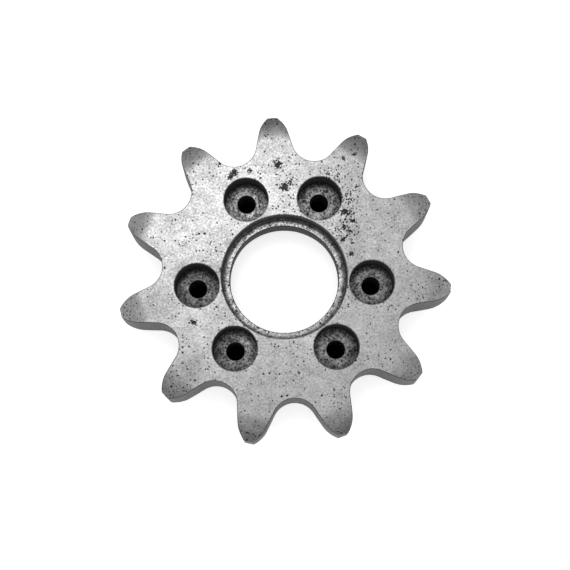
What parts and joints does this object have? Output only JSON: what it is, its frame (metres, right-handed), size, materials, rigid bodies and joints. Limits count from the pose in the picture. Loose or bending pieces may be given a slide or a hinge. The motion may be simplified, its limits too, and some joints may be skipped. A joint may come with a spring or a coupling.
{
  "type": "chain sprocket",
  "caption": "Flat plate sprocket for heavy roller chain, with teeth eased at both sides, a stepped central bore and counterbored bolt holes.",
  "frame": {"origin": "centre of the stepped bore at the back face", "axes": "+Z along the bore's axis, out of the recessed front face; +Y midway between the two bolt holes of the first pair"},
  "size_m": [0.1512, 0.1509, 0.0235],
  "materials": {
    "steel": "bare machined steel, mottled grey and finely pitted, darker in the tooth gaps and counterbores"
  },
  "bodies": {
    "root": {"sprocket": "steel"}
  },
  "joints": []
}
